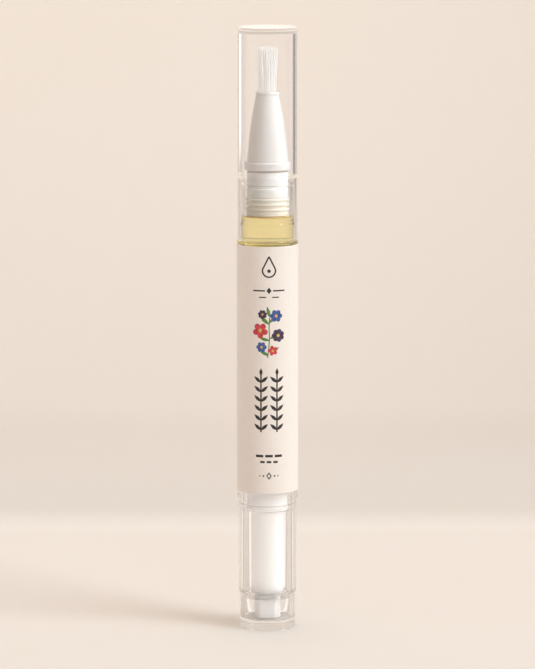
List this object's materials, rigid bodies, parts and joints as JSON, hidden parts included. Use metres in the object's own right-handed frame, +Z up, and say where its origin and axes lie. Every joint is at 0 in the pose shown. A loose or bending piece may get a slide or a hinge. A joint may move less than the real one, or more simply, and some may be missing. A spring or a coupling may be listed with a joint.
{
  "type": "nail oil pen",
  "caption": "Slim clear twist pen: a turning tail knob drives a screw and piston that push oil through a nozzle into a brush under a pull-off cap.",
  "frame": {"origin": "middle of the flat base that the pen stands on", "axes": "+Z up the pen's axis from the tail to the cap, -Y towards the viewer of the label's front"},
  "size_m": [0.0122, 0.0122, 0.12],
  "materials": {
    "clear_plastic": "clear moulded plastic, polished",
    "white_plastic": "satin white moulded plastic",
    "plug_plastic": "pale translucent moulded plastic",
    "label_paper": "cream satin paper",
    "nail_oil": "clear yellow oil",
    "bristle_nylon": "fine white filaments",
    "feed_plastic": "thin natural plastic tube",
    "gear_plastic": "smooth white bearing plastic",
    "seal_rubber": "soft pale silicone"
  },
  "bodies": {
    "barrel": {"barrel": "clear_plastic", "label": "label_paper", "oil": "nail_oil", "neck_plug": "plug_plastic", "nozzle": "white_plastic", "brush_root": "bristle_nylon", "bristle_tuft": "bristle_nylon", "feed_tube": "feed_plastic", "tail_bush": "white_plastic", "thread_nut": "white_plastic", "ratchet_ring": "gear_plastic"},
    "cap": {"cap_shell": "clear_plastic"},
    "knob": {"knob_shell": "clear_plastic", "tail_cup": "clear_plastic", "drive_sleeve": "white_plastic", "pawl_ring": "gear_plastic"},
    "piston": {"piston": "white_plastic", "front_seal": "seal_rubber", "rear_seal": "seal_rubber"},
    "rod": {"screw_rod": "gear_plastic"}
  },
  "joints": [
    {"name": "cap_pull", "type": "slide", "parent": "barrel", "child": "cap", "axis": [0, 0, 1], "range_m": [0, 0.045]},
    {"name": "knob_turn", "type": "hinge", "parent": "barrel", "child": "knob", "pos_m": [0, 0, 0.026], "axis": [0, 0, 1], "range_deg": [0, 3780]},
    {"name": "piston_slide", "type": "slide", "parent": "barrel", "child": "piston", "axis": [0, 0, 1], "range_m": [0, 0.0315], "deforming": ["oil"]},
    {"name": "rod_slide", "type": "slide", "parent": "knob", "child": "rod", "axis": [0, 0, 1], "range_m": [0, 0.0315]}
  ],
  "couplings": [
    {"joint": "knob_turn", "follows": "piston_slide", "rad_per_m": 2094.4},
    {"joint": "rod_slide", "follows": "piston_slide", "ratio": 1}
  ]
}
